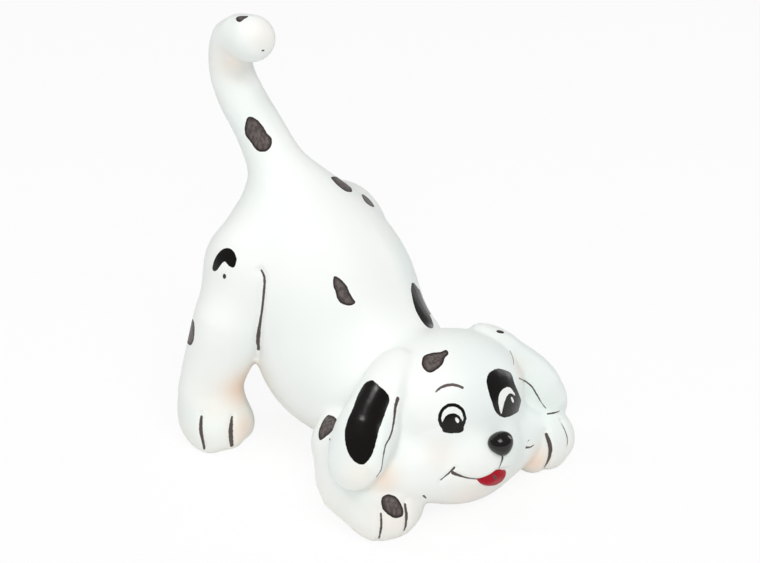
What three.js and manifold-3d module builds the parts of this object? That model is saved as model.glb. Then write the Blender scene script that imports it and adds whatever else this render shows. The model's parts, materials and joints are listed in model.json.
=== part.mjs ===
// Painted bisque puppy in a play bow: a hollow slip-cast ornament, about 155 mm tall.
// Millimetres. The nose points to -Y, the puppy's own left is +X, the table is z = 0.
// Body and head are drain-cast shells. Ears, tail, legs and nose are solid and luted on.
import * as THREE from "three";
import { mergeVertices } from "three/addons/utils/BufferGeometryUtils.js";
import Module from "manifold-3d";

const wasm = await Module();
wasm.setup();

// Sizes shared by all pieces
const wallThickness = 4.5;
const seatGap = 0.3;
const cutAllowance = 6;
const pourHoleRadius = 7;
const neckPassageRadius = 11;
const sides = { right: -1, left: 1 };

// Stance: the rump sways to the puppy's right. The head turns to its right and tilts to its left,
// in degrees about a point over the chin.
const rumpSway = -1.7;
const headTurn = 5;
const headTilt = 6.5;
const headPivot = { back: -40, up: 10 };

const bisque = { color: "#f0f0ea", roughness: 0.5, metalness: 0 };
const glossBlack = { color: "#15110f", roughness: 0.15, metalness: 0 };

// A form is a function that gives the distance in mm from a point to a surface, less than zero inside

const at = (x, y, z) => new THREE.Vector3(x, y, z);

const turned = (axis, degrees) => new THREE.Quaternion()
  .setFromAxisAngle(axis, THREE.MathUtils.degToRad(degrees));

// An egg is an ellipsoid, turned about its centre
function egg(centre, radii, turn = new THREE.Quaternion()) {
  const unturn = turn.clone().invert();
  const local = at(0, 0, 0);
  const slope = at(0, 0, 0);
  return (point) => {
    local.copy(point).sub(centre).applyQuaternion(unturn).divide(radii);
    slope.copy(local).divide(radii);
    const size = local.length();
    return (size * (size - 1)) / Math.max(slope.length(), 1e-6);
  };
}

// A limb is a straight rounded cone from one ball to another
function limb(from, to, startRadius, endRadius) {
  const along = to.clone().sub(from);
  const local = at(0, 0, 0);
  return (point) => {
    local.copy(point).sub(from);
    const share = THREE.MathUtils.clamp(local.dot(along) / along.lengthSq(), 0, 1);
    const radius = THREE.MathUtils.lerp(startRadius, endRadius, share);
    return local.addScaledVector(along, -share).length() - radius;
  };
}

// A sweep is a smooth run of limbs through a line of centres and radii
function sweep(line, links) {
  const centres = new THREE.CatmullRomCurve3(line.map(({ centre }) => centre)).getPoints(links);
  const radii = new THREE.SplineCurve(line.map(({ radius }, index) => new THREE.Vector2(index, radius)))
    .getPoints(links)
    .map(({ y }) => y);
  const joints = centres.slice(1).map((centre, index) => (
    limb(centres[index], centre, radii[index], radii[index + 1])
  ));
  return (point) => Math.min(...joints.map((joint) => joint(point)));
}

// Joins forms with a fillet, as clay is smoothed over a join with a damp finger
function blend(fillet, ...forms) {
  return (point) => forms.map((form) => form(point)).reduce((a, b) => {
    const reach = Math.max(fillet - Math.abs(a - b), 0) / fillet;
    return Math.min(a, b) - (reach * reach * fillet) / 4;
  });
}

const common = (...forms) => (point) => Math.max(...forms.map((form) => form(point)));
const inset = (form, depth) => (point) => form(point) + depth;

// Each mass of clay below is placed by how far it lies aside, back and up from the middle of the
// table, and sized by its half width, half depth and half height, or by its radius
const centreOf = ({ aside = 0, back, up }, side = 1, sway = 0) => at(side * aside + sway, back, up);
const radiiOf = ({ wide, deep, tall }) => at(wide, deep, tall);

// Torso, from the high rump down to the chest that rests on the table.
// Waist and croup round out the back between the hips and under the tail.
const rumpBall = { back: 36, up: 62, radius: 30 };
const rump = { back: 40, up: 62, wide: 33, deep: 27, tall: 28 };
const shoulderBall = { back: 9, up: 29.5, radius: 29 };
const belly = { back: 21, up: 33.5, wide: 32.5, deep: 28, tall: 30.5 };
const chest = { back: -6, up: 27, wide: 26.5, deep: 22, tall: 28 };
const waist = { aside: 2.5, back: 25, up: 55, wide: 29, deep: 24, tall: 23 };
const croup = { aside: -4, back: 46.5, up: 72.5, wide: 25.5, deep: 17, tall: 18 };
const torsoFillet = 12;
const torso = blend(
  torsoFillet,
  limb(centreOf(rumpBall, 1, rumpSway), centreOf(shoulderBall), rumpBall.radius, shoulderBall.radius),
  egg(centreOf(rump, 1, rumpSway), radiiOf(rump)),
  egg(centreOf(belly, 1, rumpSway / 2), radiiOf(belly)),
  egg(centreOf(chest), radiiOf(chest)),
  egg(centreOf(waist), radiiOf(waist)),
  egg(centreOf(croup), radiiOf(croup)),
);

// Tail, stiff and upright, with a hook at its tip.
// back, up and thick are shares of its reach, its height and its radius.
const tailRoot = { back: 45, up: 88 };
const tailReach = 36.5;
const tailHeight = 58;
const tailRadius = 8;
const tailLine = [
  { back: 0, up: 0, thick: 1.62 },
  { back: 0.27, up: 0.17, thick: 1.31 },
  { back: 0.58, up: 0.39, thick: 1.13 },
  { back: 0.83, up: 0.54, thick: 1.09 },
  { back: 0.97, up: 0.67, thick: 1.04 },
  { back: 1, up: 0.81, thick: 1 },
  { back: 0.92, up: 0.95, thick: 1 },
  { back: 0.62, up: 1, thick: 1.08 },
].map(({ back, up, thick }) => ({
  centre: at(rumpSway, tailRoot.back + tailReach * back, tailRoot.up + tailHeight * up),
  radius: tailRadius * thick,
}));
const tailLinks = 28;
const tail = sweep(tailLine, tailLinks);

// Paws end in three toes that part at shallow grooves
const toeSpacing = 7.6;
const outerToeSetBack = 2;
const toeFillet = 2;
const toeCentre = (middle, toe, step) => (
  at(step * toeSpacing, Math.abs(step) * outerToeSetBack - toe.ahead, -toe.below).add(middle)
);
const paw = (middle, palm, toe) => blend(
  toeFillet,
  egg(middle, radiiOf(palm)),
  ...[-1, 0, 1].map((step) => egg(toeCentre(middle, toe, step), radiiOf(toe))),
);

// Hind legs: a full thigh, a straight shank and a big round paw
const hip = { aside: 23, back: 44, up: 62.5, wide: 16.5, deep: 21, tall: 23.5 };
const knee = { aside: 34.3, back: 43.5, up: 46, radius: 14.5 };
const hock = { aside: 42.6, back: 48, up: 20.5, radius: 11.4 };
const hindPaw = { aside: 44.4, back: 43.5, up: 7.4, wide: 13.1, deep: 15.2, tall: 12.4 };
const hindToe = { ahead: 6, below: 1.2, wide: 5.4, deep: 9, tall: 9 };
const hindLegFillet = 8;
const hindLeg = (side) => blend(
  hindLegFillet,
  egg(centreOf(hip, side, rumpSway), radiiOf(hip)),
  limb(centreOf(knee, side, rumpSway), centreOf(hock, side, rumpSway), knee.radius, hock.radius),
  paw(centreOf(hindPaw, side, rumpSway), hindPaw, hindToe),
);

// Forelegs: folded flat on the table, the left one reaching further ahead than the right
const elbow = { aside: 28, back: -14, up: 17, radius: 13 };
const wrist = {
  right: { aside: 36, back: -28, up: 12, radius: 12.8 },
  left: { aside: 35, back: -36, up: 12, radius: 12 },
};
const forePaw = {
  right: { aside: 34.8, back: -42, up: 8, wide: 14.2, deep: 13, tall: 11 },
  left: { aside: 36, back: -51.5, up: 8.5, wide: 12.5, deep: 12, tall: 11 },
};
const foreToe = { ahead: 4, below: 1.5, wide: 5.2, deep: 8, tall: 8.4 };
const forelegFillet = 6;
const knuckleRise = 1;
const namedSide = (side) => (side === sides.right ? "right" : "left");
function foreleg(side) {
  const wristBall = wrist[namedSide(side)];
  const palm = forePaw[namedSide(side)];
  const palmCentre = centreOf(palm, side);
  const knuckles = palmCentre.clone().setZ(palm.up + knuckleRise);
  return blend(
    forelegFillet,
    limb(centreOf(elbow, side), centreOf(wristBall, side), elbow.radius, wristBall.radius),
    limb(centreOf(wristBall, side), knuckles, wristBall.radius, palm.tall),
    paw(palmCentre, palm, foreToe),
  );
}

// Head: a round cranium over wide cheeks, a short muzzle and a chin on the table.
// It is laid out upright and straight, and each mass is then tilted and turned with the head.
const headPose = turned(at(0, 0, 1), -headTurn).multiply(turned(at(0, 1, 0), headTilt));
const pivot = centreOf(headPivot);
const headPlace = (mass, side = 1) => (
  centreOf(mass, side).sub(pivot).applyQuaternion(headPose).add(pivot)
);
const headEgg = (mass, side = 1) => egg(
  headPlace(mass, side),
  radiiOf(mass),
  headPose.clone().multiply(turned(at(0, 1, 0), side * (mass.lean ?? 0))),
);
const cranium = { back: -34, up: 35.4, wide: 31, deep: 25, tall: 23.2 };
const cheeks = { aside: 0.5, back: -44, up: 17, wide: 43.4, deep: 18.5, tall: 16 };
const muzzle = { back: -56.5, up: 23, wide: 15, deep: 11.5, tall: 11 };
const chin = { back: -48.5, up: 10, wide: 17.5, deep: 12.5, tall: 10.5 };
const noseTip = { back: -65.5, up: 30, wide: 5.2, deep: 3.9, tall: 4.6 };
const headFillet = 6;
const muzzleFillet = 5;
const head = blend(
  headFillet,
  headEgg(cranium),
  headEgg(cheeks),
  blend(muzzleFillet, headEgg(muzzle), headEgg(chin)),
);
const nose = headEgg(noseTip);

// Ears: thick flaps that hang from the crown and flare out over the forelegs.
// The lining is the clay behind a flap that fills its hollow against the cheek.
const earRoot = { aside: 23, back: -29, up: 49, wide: 5, deep: 8, tall: 9, lean: -45 };
const earFlap = { aside: 34.5, back: -34.5, up: 39.8, wide: 5.2, deep: 10, tall: 13, lean: -40 };
const earTip = {
  right: { aside: 45.3, back: -41.5, up: 27.5, wide: 6, deep: 13, tall: 13, lean: -30 },
  left: { aside: 42.2, back: -41, up: 29.8, wide: 6, deep: 12.5, tall: 12.5, lean: -30 },
};
const earLining = { aside: 38, back: -38, up: 26, wide: 7, deep: 9, tall: 12, lean: -30 };
const earFillet = 10;
const earMasses = (side) => [earRoot, earFlap, earTip[namedSide(side)]];
const ear = (side) => blend(
  earFillet,
  ...[...earMasses(side), earLining].map((mass) => headEgg(mass, side)),
);

const rootFillet = 12;
const trunk = blend(rootFillet, torso, tail);
const neckFillet = 5;
const headAndChest = blend(neckFillet, head, torso);

// Seats: the flat luting faces where two castings meet. A seat looks away from the body.
const seat = (point, outward) => new THREE.Plane()
  .setFromNormalAndCoplanarPoint(outward.normalize(), point);
const table = seat(at(0, 0, 0), at(0, 0, -1));
const neckSeatPlace = { back: -14, up: 58 };
const neckSeatFacing = { back: -0.97, up: 0.25 };
const neckSeat = seat(centreOf(neckSeatPlace), centreOf(neckSeatFacing));
const tailSeatPlace = { back: 52, up: 96 };
const tailSeatFacing = { back: 0.67, up: 0.74 };
const tailSeat = seat(centreOf(tailSeatPlace), centreOf(tailSeatFacing));

const beyond = (plane, allowance = 0) => (point) => -plane.distanceToPoint(point) - allowance;
const within = (plane, allowance = 0) => (point) => plane.distanceToPoint(point) - allowance;

// Bends a capsule along a spine and moves each of its points outwards until it meets the form
function skin(form, spine, { around, ends, along, aside = at(1, 0, 0) }) {
  const curve = spine.length > 2 ? new THREE.CatmullRomCurve3(spine) : new THREE.LineCurve3(...spine);
  const length = curve.getLength();
  const blank = welded(new THREE.CapsuleGeometry(1, length, ends, around, along));
  const corners = blank.getAttribute("position");
  for (let index = 0; index < corners.count; index += 1) {
    const corner = at(0, 0, 0).fromBufferAttribute(corners, index);
    const height = THREE.MathUtils.clamp(corner.y, -length / 2, length / 2);
    const share = height / length + 0.5;
    const root = curve.getPointAt(share);
    const ahead = curve.getTangentAt(share);
    const across = aside.clone().addScaledVector(ahead, -aside.dot(ahead)).normalize();
    const upward = across.clone().cross(ahead);
    const outward = across.multiplyScalar(corner.x)
      .addScaledVector(ahead, corner.y - height)
      .addScaledVector(upward, corner.z)
      .normalize();
    corners.setXYZ(index, ...root.addScaledVector(outward, reach(form, root, outward)));
  }
  return solidFrom(blank);
}

// Walks out from a point inside the form, then halves the last step until the surface is found
const shortestStep = 0.3;
const halvings = 14;
function reach(form, start, direction) {
  const probe = at(0, 0, 0);
  const depth = (distance) => form(probe.copy(start).addScaledVector(direction, distance));
  let inside = 0;
  let outside = 0;
  for (let gap = depth(0); gap < 0; gap = depth(outside)) {
    inside = outside;
    outside += Math.max(shortestStep, -gap / 2);
  }
  for (let halving = 0; halving < halvings; halving += 1) {
    const middle = (inside + outside) / 2;
    if (depth(middle) < 0) inside = middle;
    else outside = middle;
  }
  return outside;
}

// Joins the seams and poles of a shape and drops the triangles that this closes up
const mergeDistance = 1e-4;
function welded(geometry) {
  geometry.deleteAttribute("normal");
  geometry.deleteAttribute("uv");
  const closed = mergeVertices(geometry, mergeDistance);
  const corners = closed.getIndex().array;
  const kept = [];
  for (let first = 0; first < corners.length; first += 3) {
    const [a, b, c] = corners.slice(first, first + 3);
    if (a !== b && b !== c && c !== a) kept.push(a, b, c);
  }
  closed.setIndex(kept);
  return closed;
}

function solidFrom(closed) {
  return new wasm.Manifold(new wasm.Mesh({
    numProp: 3,
    vertProperties: Float32Array.from(closed.getAttribute("position").array),
    triVerts: Uint32Array.from(closed.getIndex().array),
  }));
}

// A block that fills everything on the far side of a seat, standing off from it by a gap
function blockBeyond(plane, gap = 0) {
  const size = 400;
  const block = new THREE.BoxGeometry(size, size, size);
  block.applyQuaternion(new THREE.Quaternion().setFromUnitVectors(at(0, 0, 1), plane.normal));
  block.translate(...plane.normal.clone().multiplyScalar(size / 2 + gap - plane.constant));
  return solidFrom(welded(block));
}

const rodSides = 30;
function rod(from, to, radius) {
  const along = to.clone().sub(from);
  const shape = new THREE.CylinderGeometry(radius, radius, along.length(), rodSides);
  shape.applyQuaternion(new THREE.Quaternion().setFromUnitVectors(at(0, 1, 0), along.clone().normalize()));
  shape.translate(...from.clone().addScaledVector(along, 0.5));
  return solidFrom(welded(shape));
}

const trimBeyond = (solid, plane) => solid.subtract(blockBeyond(plane));
const keepBeyond = (solid, plane) => solid.intersect(blockBeyond(plane, seatGap));
const standing = (solid) => trimBeyond(solid, table);

const overTable = within(table, cutAllowance);

// Head shell, open at the neck
const headCore = { aside: 12, back: -41, up: 25 };
const headSpine = Object.values(sides).map((side) => headPlace(headCore, side));
const headForm = common(headAndChest, beyond(neckSeat, cutAllowance), overTable);
const headBlank = { around: 44, ends: 11, along: 5, aside: at(0, 0, 1) };
const headRoomBlank = { around: 20, ends: 5, along: 2, aside: at(0, 0, 1) };
const headOuter = skin(headForm, headSpine, headBlank);
const headRoom = skin(
  inset(common(headAndChest, beyond(neckSeat), within(table)), wallThickness),
  headSpine,
  headRoomBlank,
);
const neckMiddle = { back: -19, up: 34 };
const neckPassageReach = { intoBody: 14, intoHead: 10 };
const neckPassage = rod(
  centreOf(neckMiddle).addScaledVector(neckSeat.normal, -neckPassageReach.intoBody),
  centreOf(neckMiddle).addScaledVector(neckSeat.normal, neckPassageReach.intoHead),
  neckPassageRadius,
);
const headShell = keepBeyond(standing(headOuter), neckSeat).subtract(headRoom).subtract(neckPassage);
const headClearance = skin(inset(headForm, -seatGap), headSpine, headBlank);

// Body shell, hollow, with the pour hole in the flat of the chest
const rumpCore = { back: 42, up: 62 };
const chestCore = { back: -2, up: 30 };
const bodySpine = [centreOf(rumpCore, 1, rumpSway), centreOf(chestCore)];
const bodySeats = [neckSeat, tailSeat];
const bodyForm = common(trunk, overTable, ...bodySeats.map((plane) => within(plane, cutAllowance)));
const bodyBlank = { around: 38, ends: 10, along: 11 };
const bodyRoomBlank = { around: 20, ends: 5, along: 4 };
const bodyRoom = skin(
  inset(common(trunk, within(table), ...bodySeats.map((plane) => within(plane))), wallThickness),
  bodySpine,
  bodyRoomBlank,
);
const bodyClearance = skin(inset(bodyForm, -seatGap), bodySpine, bodyBlank);
const pourHolePlace = { back: 5, from: -1, to: 9 };
const pourHole = rod(
  at(0, pourHolePlace.back, pourHolePlace.from),
  at(0, pourHolePlace.back, pourHolePlace.to),
  pourHoleRadius,
);
const bodyShell = bodySeats
  .reduce(trimBeyond, standing(skin(bodyForm, bodySpine, bodyBlank)))
  .subtract(bodyRoom)
  .subtract(neckPassage)
  .subtract(pourHole);

// Solid pieces
const tailCore = { back: 55, up: 99.5 };
const tailBlank = { around: 20, ends: 5, along: 16 };
const tailPiece = keepBeyond(
  skin(
    common(trunk, beyond(tailSeat, cutAllowance)),
    [centreOf(tailCore, 1, rumpSway), ...tailLine.slice(2).map(({ centre }) => centre)],
    tailBlank,
  ),
  tailSeat,
);

const thighCore = { aside: 27, back: 43, up: 66 };
const hindBlank = { around: 26, ends: 8, along: 10 };
function hindLegPiece(side) {
  const line = [thighCore, knee, hock, hindPaw].map((place) => centreOf(place, side, rumpSway));
  const outer = skin(common(hindLeg(side), overTable), line, hindBlank);
  return standing(outer).subtract(bodyClearance);
}

function foreLine(side) {
  const palmCentre = centreOf(forePaw[namedSide(side)], side);
  return [
    centreOf(elbow, side),
    centreOf(wrist[namedSide(side)], side),
    palmCentre,
    palmCentre.clone().add(at(0, -foreToe.ahead, 0)),
  ];
}
const foreForm = (side) => common(foreleg(side), overTable);
const foreBlank = { around: 26, ends: 8, along: 8 };
const foreLegPiece = (side) => standing(skin(foreForm(side), foreLine(side), foreBlank))
  .subtract(bodyClearance)
  .subtract(headClearance);
const foreLegClearance = (side) => skin(inset(foreForm(side), -seatGap), foreLine(side), foreBlank);

const earBlank = { around: 20, ends: 5, along: 7 };
const earEndBeyondTip = { aside: 4, back: -0.5, up: -6.5 };
const beyondTip = ({ aside, back, up }) => ({
  aside: aside + earEndBeyondTip.aside,
  back: back + earEndBeyondTip.back,
  up: up + earEndBeyondTip.up,
});
function earPiece(side) {
  const line = earMasses(side).map((mass) => headPlace(mass, side));
  line.push(headPlace(beyondTip(earTip[namedSide(side)]), side));
  return skin(ear(side), line, earBlank)
    .subtract(headClearance)
    .subtract(foreLegClearance(side));
}

const noseCore = { ...noseTip, aside: 0.5 };
const noseLine = Object.values(sides).map((side) => headPlace(noseCore, side));
const noseBlank = { around: 18, ends: 6, along: 1, aside: at(0, 0, 1) };
const noseOuter = skin(nose, noseLine, noseBlank);
const nosePiece = noseOuter.subtract(headClearance);

// The assembly
function piece(name, solid, finish) {
  const parts = solid.decompose();
  const largest = parts.reduce((best, part) => (part.volume() > best.volume() ? part : best));
  const { vertProperties, triVerts } = largest.getMesh();
  const geometry = new THREE.BufferGeometry();
  geometry.setAttribute("position", new THREE.BufferAttribute(vertProperties, 3));
  geometry.setIndex(new THREE.BufferAttribute(triVerts, 1));
  geometry.computeVertexNormals();
  const mesh = new THREE.Mesh(geometry, new THREE.MeshStandardMaterial(finish));
  mesh.name = name;
  return mesh;
}

const puppy = new THREE.Group();
puppy.add(
  piece("body_shell", bodyShell, bisque),
  piece("head_shell", headShell, bisque),
  piece("nose", nosePiece, glossBlack),
  piece("tail", tailPiece, bisque),
);
for (const [word, side] of Object.entries(sides)) {
  puppy.add(
    piece(`${word}_ear`, earPiece(side), bisque),
    piece(`${word}_hind_leg`, hindLegPiece(side), bisque),
    piece(`${word}_front_leg`, foreLegPiece(side), bisque),
  );
}

// The origin is on the table under the middle of the figure
const middle = new THREE.Box3().setFromObject(puppy).getCenter(at(0, 0, 0));
puppy.position.set(-middle.x, -middle.y, 0);

export default puppy;
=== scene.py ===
# Painted bisque puppy in a play bow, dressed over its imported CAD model. Metres.
import json
import math

import bpy
import numpy as np
from mathutils import Matrix, Vector
from mathutils.bvhtree import BVHTree

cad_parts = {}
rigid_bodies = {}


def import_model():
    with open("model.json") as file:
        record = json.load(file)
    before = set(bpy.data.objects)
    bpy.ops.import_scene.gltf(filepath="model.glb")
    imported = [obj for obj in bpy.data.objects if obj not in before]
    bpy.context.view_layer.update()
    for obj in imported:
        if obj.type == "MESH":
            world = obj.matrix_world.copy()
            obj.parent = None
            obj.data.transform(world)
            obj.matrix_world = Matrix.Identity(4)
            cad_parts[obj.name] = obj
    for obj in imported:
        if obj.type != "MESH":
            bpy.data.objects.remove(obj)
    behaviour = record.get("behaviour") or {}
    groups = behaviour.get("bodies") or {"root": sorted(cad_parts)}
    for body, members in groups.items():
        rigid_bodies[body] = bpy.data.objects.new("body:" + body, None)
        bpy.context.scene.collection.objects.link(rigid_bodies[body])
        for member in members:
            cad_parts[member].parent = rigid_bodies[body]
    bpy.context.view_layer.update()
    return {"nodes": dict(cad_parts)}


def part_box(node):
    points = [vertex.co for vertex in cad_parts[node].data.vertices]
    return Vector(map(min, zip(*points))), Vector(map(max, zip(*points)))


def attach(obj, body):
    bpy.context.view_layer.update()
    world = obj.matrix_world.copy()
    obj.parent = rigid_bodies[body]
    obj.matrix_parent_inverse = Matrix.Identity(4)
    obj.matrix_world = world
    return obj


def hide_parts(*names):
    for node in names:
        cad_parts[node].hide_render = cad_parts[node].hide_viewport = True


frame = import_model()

MM = 0.001

# Camera: the photograph looks down on the puppy from its front right.
# Painted marks are placed by their pixels in that view, so it comes first.
PHOTO_SIZE = (760, 563)
VIEW_AZIMUTH = math.radians(-42.2)
VIEW_ELEVATION = math.radians(30.7)
VIEW_DISTANCE = 0.680
VIEW_TARGET = Vector((0.0032, -0.0100, 0.069))
FOCAL_PIXELS = 1828

view_back = Vector((
    math.sin(VIEW_AZIMUTH) * math.cos(VIEW_ELEVATION),
    -math.cos(VIEW_AZIMUTH) * math.cos(VIEW_ELEVATION),
    math.sin(VIEW_ELEVATION),
))
camera_data = bpy.data.cameras.new("photo_view")
camera_data.lens = camera_data.sensor_width * FOCAL_PIXELS / PHOTO_SIZE[0]
camera = bpy.data.objects.new("photo_view", camera_data)
camera.location = VIEW_TARGET + view_back * VIEW_DISTANCE
camera.rotation_euler = view_back.to_track_quat("Z", "Y").to_euler()
bpy.context.scene.collection.objects.link(camera)
bpy.context.scene.camera = camera
view_axes = camera.rotation_euler.to_matrix()


def sight_line(pixel):
    """The direction from the camera through a pixel of the photograph"""
    across = (pixel[0] - PHOTO_SIZE[0] / 2) / FOCAL_PIXELS
    upward = (PHOTO_SIZE[1] / 2 - pixel[1]) / FOCAL_PIXELS
    return (view_axes @ Vector((across, upward, -1))).normalized()


# Bisque skin: the castings are leather-hard clay, luted together with slip at their seats.
# The joins are sponged until no seam shows, and the whole puppy is fired once to bisque.
# So one skin is made from the castings first, hollows and all, and cut back into them further down.
CASTINGS = (
    "body_shell", "head_shell", "tail", "right_ear", "left_ear",
    "right_hind_leg", "left_hind_leg", "right_front_leg", "left_front_leg",
)
SLIP_LAYER = 0.25 * MM
SKIN_GRAIN = 0.9 * MM
SPONGED_ROUNDS = 12
SPONGE_LOSS = 0.15 * MM
EASE = 0.5
MERGED_WITHIN = 0.001 * MM


def take(piece):
    """Selects one piece alone"""
    bpy.ops.object.select_all(action="DESELECT")
    piece.select_set(True)
    bpy.context.view_layer.objects.active = piece


def work(piece, kind, **settings):
    """Adds a modifier with its settings and applies it"""
    modifier = piece.modifiers.new(kind, kind)
    for name, value in settings.items():
        setattr(modifier, name, value)
    take(piece)
    bpy.ops.object.modifier_apply(modifier=modifier.name)


def fattened(node, name, layer):
    """A copy of a CAD node with its loose triangles merged and a layer added all over"""
    mesh = frame["nodes"][node].data.copy()
    mesh.materials.clear()
    piece = bpy.data.objects.new(name, mesh)
    bpy.context.scene.collection.objects.link(piece)
    take(piece)
    bpy.ops.object.mode_set(mode="EDIT")
    bpy.ops.mesh.select_all(action="SELECT")
    bpy.ops.mesh.remove_doubles(threshold=MERGED_WITHIN)
    bpy.ops.object.mode_set(mode="OBJECT")
    work(piece, "DISPLACE", strength=layer, mid_level=0)
    return piece


def vectors_of(items, name):
    flat = np.empty(len(items) * 3)
    items.foreach_get(name, flat)
    return flat.reshape(-1, 3)


def set_places(piece, points):
    piece.data.vertices.foreach_set("co", points.ravel())
    piece.data.update()


def surface_of(piece):
    return BVHTree.FromObject(piece, bpy.context.evaluated_depsgraph_get())


coats = [fattened(node, node + "_coat", SLIP_LAYER) for node in CASTINGS]
bpy.ops.object.select_all(action="DESELECT")
for coat in coats:
    coat.select_set(True)
bpy.context.view_layer.objects.active = coats[0]
bpy.ops.object.join()
skin = coats[0]
skin.name = "bisque_skin"
work(skin, "REMESH", mode="VOXEL", voxel_size=SKIN_GRAIN, use_smooth_shade=True)
work(skin, "SMOOTH", factor=EASE, iterations=SPONGED_ROUNDS)
work(skin, "DISPLACE", strength=SPONGE_LOSS, mid_level=0)

# Joins are sponged wider than the rest: each entry is two castings, the reach, the rounds, and
# the height from which the join is sponged in full. Further down the fold is kept sharper.
JOINS = (
    ("right_hind_leg", "body_shell", 11 * MM, 150, 58 * MM),
    ("left_hind_leg", "body_shell", 11 * MM, 150, 58 * MM),
    ("right_front_leg", "body_shell", 6 * MM, 50, 0),
    ("left_front_leg", "body_shell", 6 * MM, 50, 0),
    ("head_shell", "body_shell", 6 * MM, 60, 0),
    ("tail", "body_shell", 4 * MM, 16, 0),
    ("right_ear", "head_shell", 3 * MM, 12, 0),
    ("left_ear", "head_shell", 3 * MM, 12, 0),
)
FOLD_RISE = 20 * MM
FOLD_SHARE = 0.05
WEIGHT_STEPS = 8


def join_shares(points, first, second, reach):
    """1 for a point on both castings, down to 0 at the reach from either"""
    shares = np.zeros(len(points))
    boxes = [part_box(first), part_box(second)]
    low = np.max([box[0] for box in boxes], axis=0) - reach
    high = np.min([box[1] for box in boxes], axis=0) + reach
    surfaces = [surface_of(frame["nodes"][node]) for node in (first, second)]
    for index in np.flatnonzero(np.all((points > low) & (points < high), axis=1)):
        apart = max(surface.find_nearest(points[index])[3] for surface in surfaces)
        shares[index] = max(0, 1 - apart / reach)
    return shares


for first, second, reach, rounds, full_height in JOINS:
    points = vectors_of(skin.data.vertices, "co")
    shares = join_shares(points, first, second, reach)
    shares *= np.interp(points[:, 2], (full_height - FOLD_RISE, full_height), (FOLD_SHARE, 1))
    band = skin.vertex_groups.new(name="join")
    for step in range(1, WEIGHT_STEPS + 1):
        members = np.flatnonzero(np.ceil(shares * WEIGHT_STEPS) == step)
        band.add(members.tolist(), step / WEIGHT_STEPS, "REPLACE")
    work(skin, "SMOOTH", factor=EASE, iterations=rounds, vertex_group="join")
    skin.vertex_groups.clear()

skin_surface = surface_of(skin)
SEARCHED_DISTANCES = np.linspace(0.5, 0.85, 141)


def seen(pixel):
    """Place and facing of the skin at a pixel, or where its sight line passes closest to the skin"""
    direction = sight_line(pixel)
    place, facing = skin_surface.ray_cast(camera.location, direction)[:2]
    if place is None:
        passes = [
            skin_surface.find_nearest(camera.location + direction * distance)
            for distance in SEARCHED_DISTANCES
        ]
        place, facing = min(passes, key=lambda found: found[3])[:2]
    return place, facing


# Marks and creases: a mark is painted by hand with a small brush, as a patch or a stroke, and a
# crease is pressed into the clay with a loop tool. Both are given by pixels of the photograph.
# A mark gives the distance in metres from its edge, less than zero on the paint.
MARKS = []
CREASES = []
CURVE_STEPS = 6
FAR = 1.0
TINY = 1e-18
CORNER_REACH = 1.5
STROKE_MARGIN = 4 * MM
STROKE_DEPTH = 3 * MM
PATCH_DEPTH = 2.5 * MM


def rounded(points, closed):
    """A smooth curve through a few points, as a brush draws it"""
    points = np.array(points, float)
    count = len(points)
    last = count if closed else count - 1
    curve = []
    for index in range(last):
        steps = [index + step for step in (-1, 0, 1, 2)]
        if closed:
            a, b, c, d = (points[step % count] for step in steps)
        else:
            a, b, c, d = (points[min(max(step, 0), last)] for step in steps)
        for share in np.arange(CURVE_STEPS) / CURVE_STEPS:
            curve.append(0.5 * (
                2 * b + (c - a) * share + (2 * a - 5 * b + 4 * c - d) * share ** 2
                + (3 * b - 3 * c + d - a) * share ** 3
            ))
    if not closed:
        curve.append(points[-1])
    return np.array(curve)


def to_segments(points, starts, ends):
    """From each straight segment to each point, and how far along the segment that is"""
    along = ends - starts
    apart = points[:, None, :] - starts[None]
    share = np.clip((apart * along).sum(2) / np.maximum((along ** 2).sum(1), TINY), 0, 1)
    return apart - share[..., None] * along, share


def flat_patch(outline, normal):
    """A mark whose outline is laid on the plane that touches the skin at its middle"""
    middle = outline.mean(axis=0)
    across = np.cross(normal, view_back + view_axes.col[0])
    across /= np.linalg.norm(across)
    axes = np.array([across, np.cross(normal, across)])
    loop = (outline - middle) @ axes.T
    ends = np.roll(loop, -1, axis=0)
    size = np.abs(loop).max()
    depth = np.abs((outline - middle) @ normal).max() + PATCH_DEPTH

    def edge(points, normals):
        result = np.full(len(points), FAR)
        offset = points - middle
        near = (np.abs(offset @ normal) < depth) & (normals @ normal > 0)
        near &= np.linalg.norm(offset, axis=1) < size * CORNER_REACH + STROKE_MARGIN
        flat = offset[near] @ axes.T
        apart = np.linalg.norm(to_segments(flat, loop, ends)[0], axis=2).min(axis=1)
        above = (loop[:, 1] > flat[:, None, 1]) != (ends[:, 1] > flat[:, None, 1])
        rise = ends[:, 1] - loop[:, 1]
        slope = (ends[:, 0] - loop[:, 0]) / np.where(rise == 0, TINY, rise)
        crossing = loop[:, 0] + slope * (flat[:, None, 1] - loop[:, 1])
        inside = (above & (flat[:, None, 0] < crossing)).sum(axis=1) % 2 == 1
        result[near] = np.where(inside, -apart, apart)
        return result

    return edge


STRETCH = 1.6


def patch(paint, outline):
    """A painted patch, given by the pixels of its outline. Where the skin turns away from the view,
    the patch reaches little further than it is long in the photograph."""
    outline = rounded(outline, closed=True)
    middle = outline.mean(axis=0)
    half_length = np.linalg.norm(outline - middle, axis=1).max() * VIEW_DISTANCE / FOCAL_PIXELS
    centre = np.array(seen(middle)[0])
    apart = np.array([seen(pixel)[0] for pixel in outline]) - centre
    reach = np.linalg.norm(apart, axis=1)
    places = centre + apart * np.minimum(1, STRETCH * half_length / reach)[:, None]
    normal = np.array(skin_surface.find_nearest(Vector(places.mean(axis=0)))[1])
    MARKS.append((paint, flat_patch(places, normal)))


OVAL_CORNERS = 24
OVAL_BULGES = 3
OVAL_UNEVENNESS = 0.08


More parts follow.
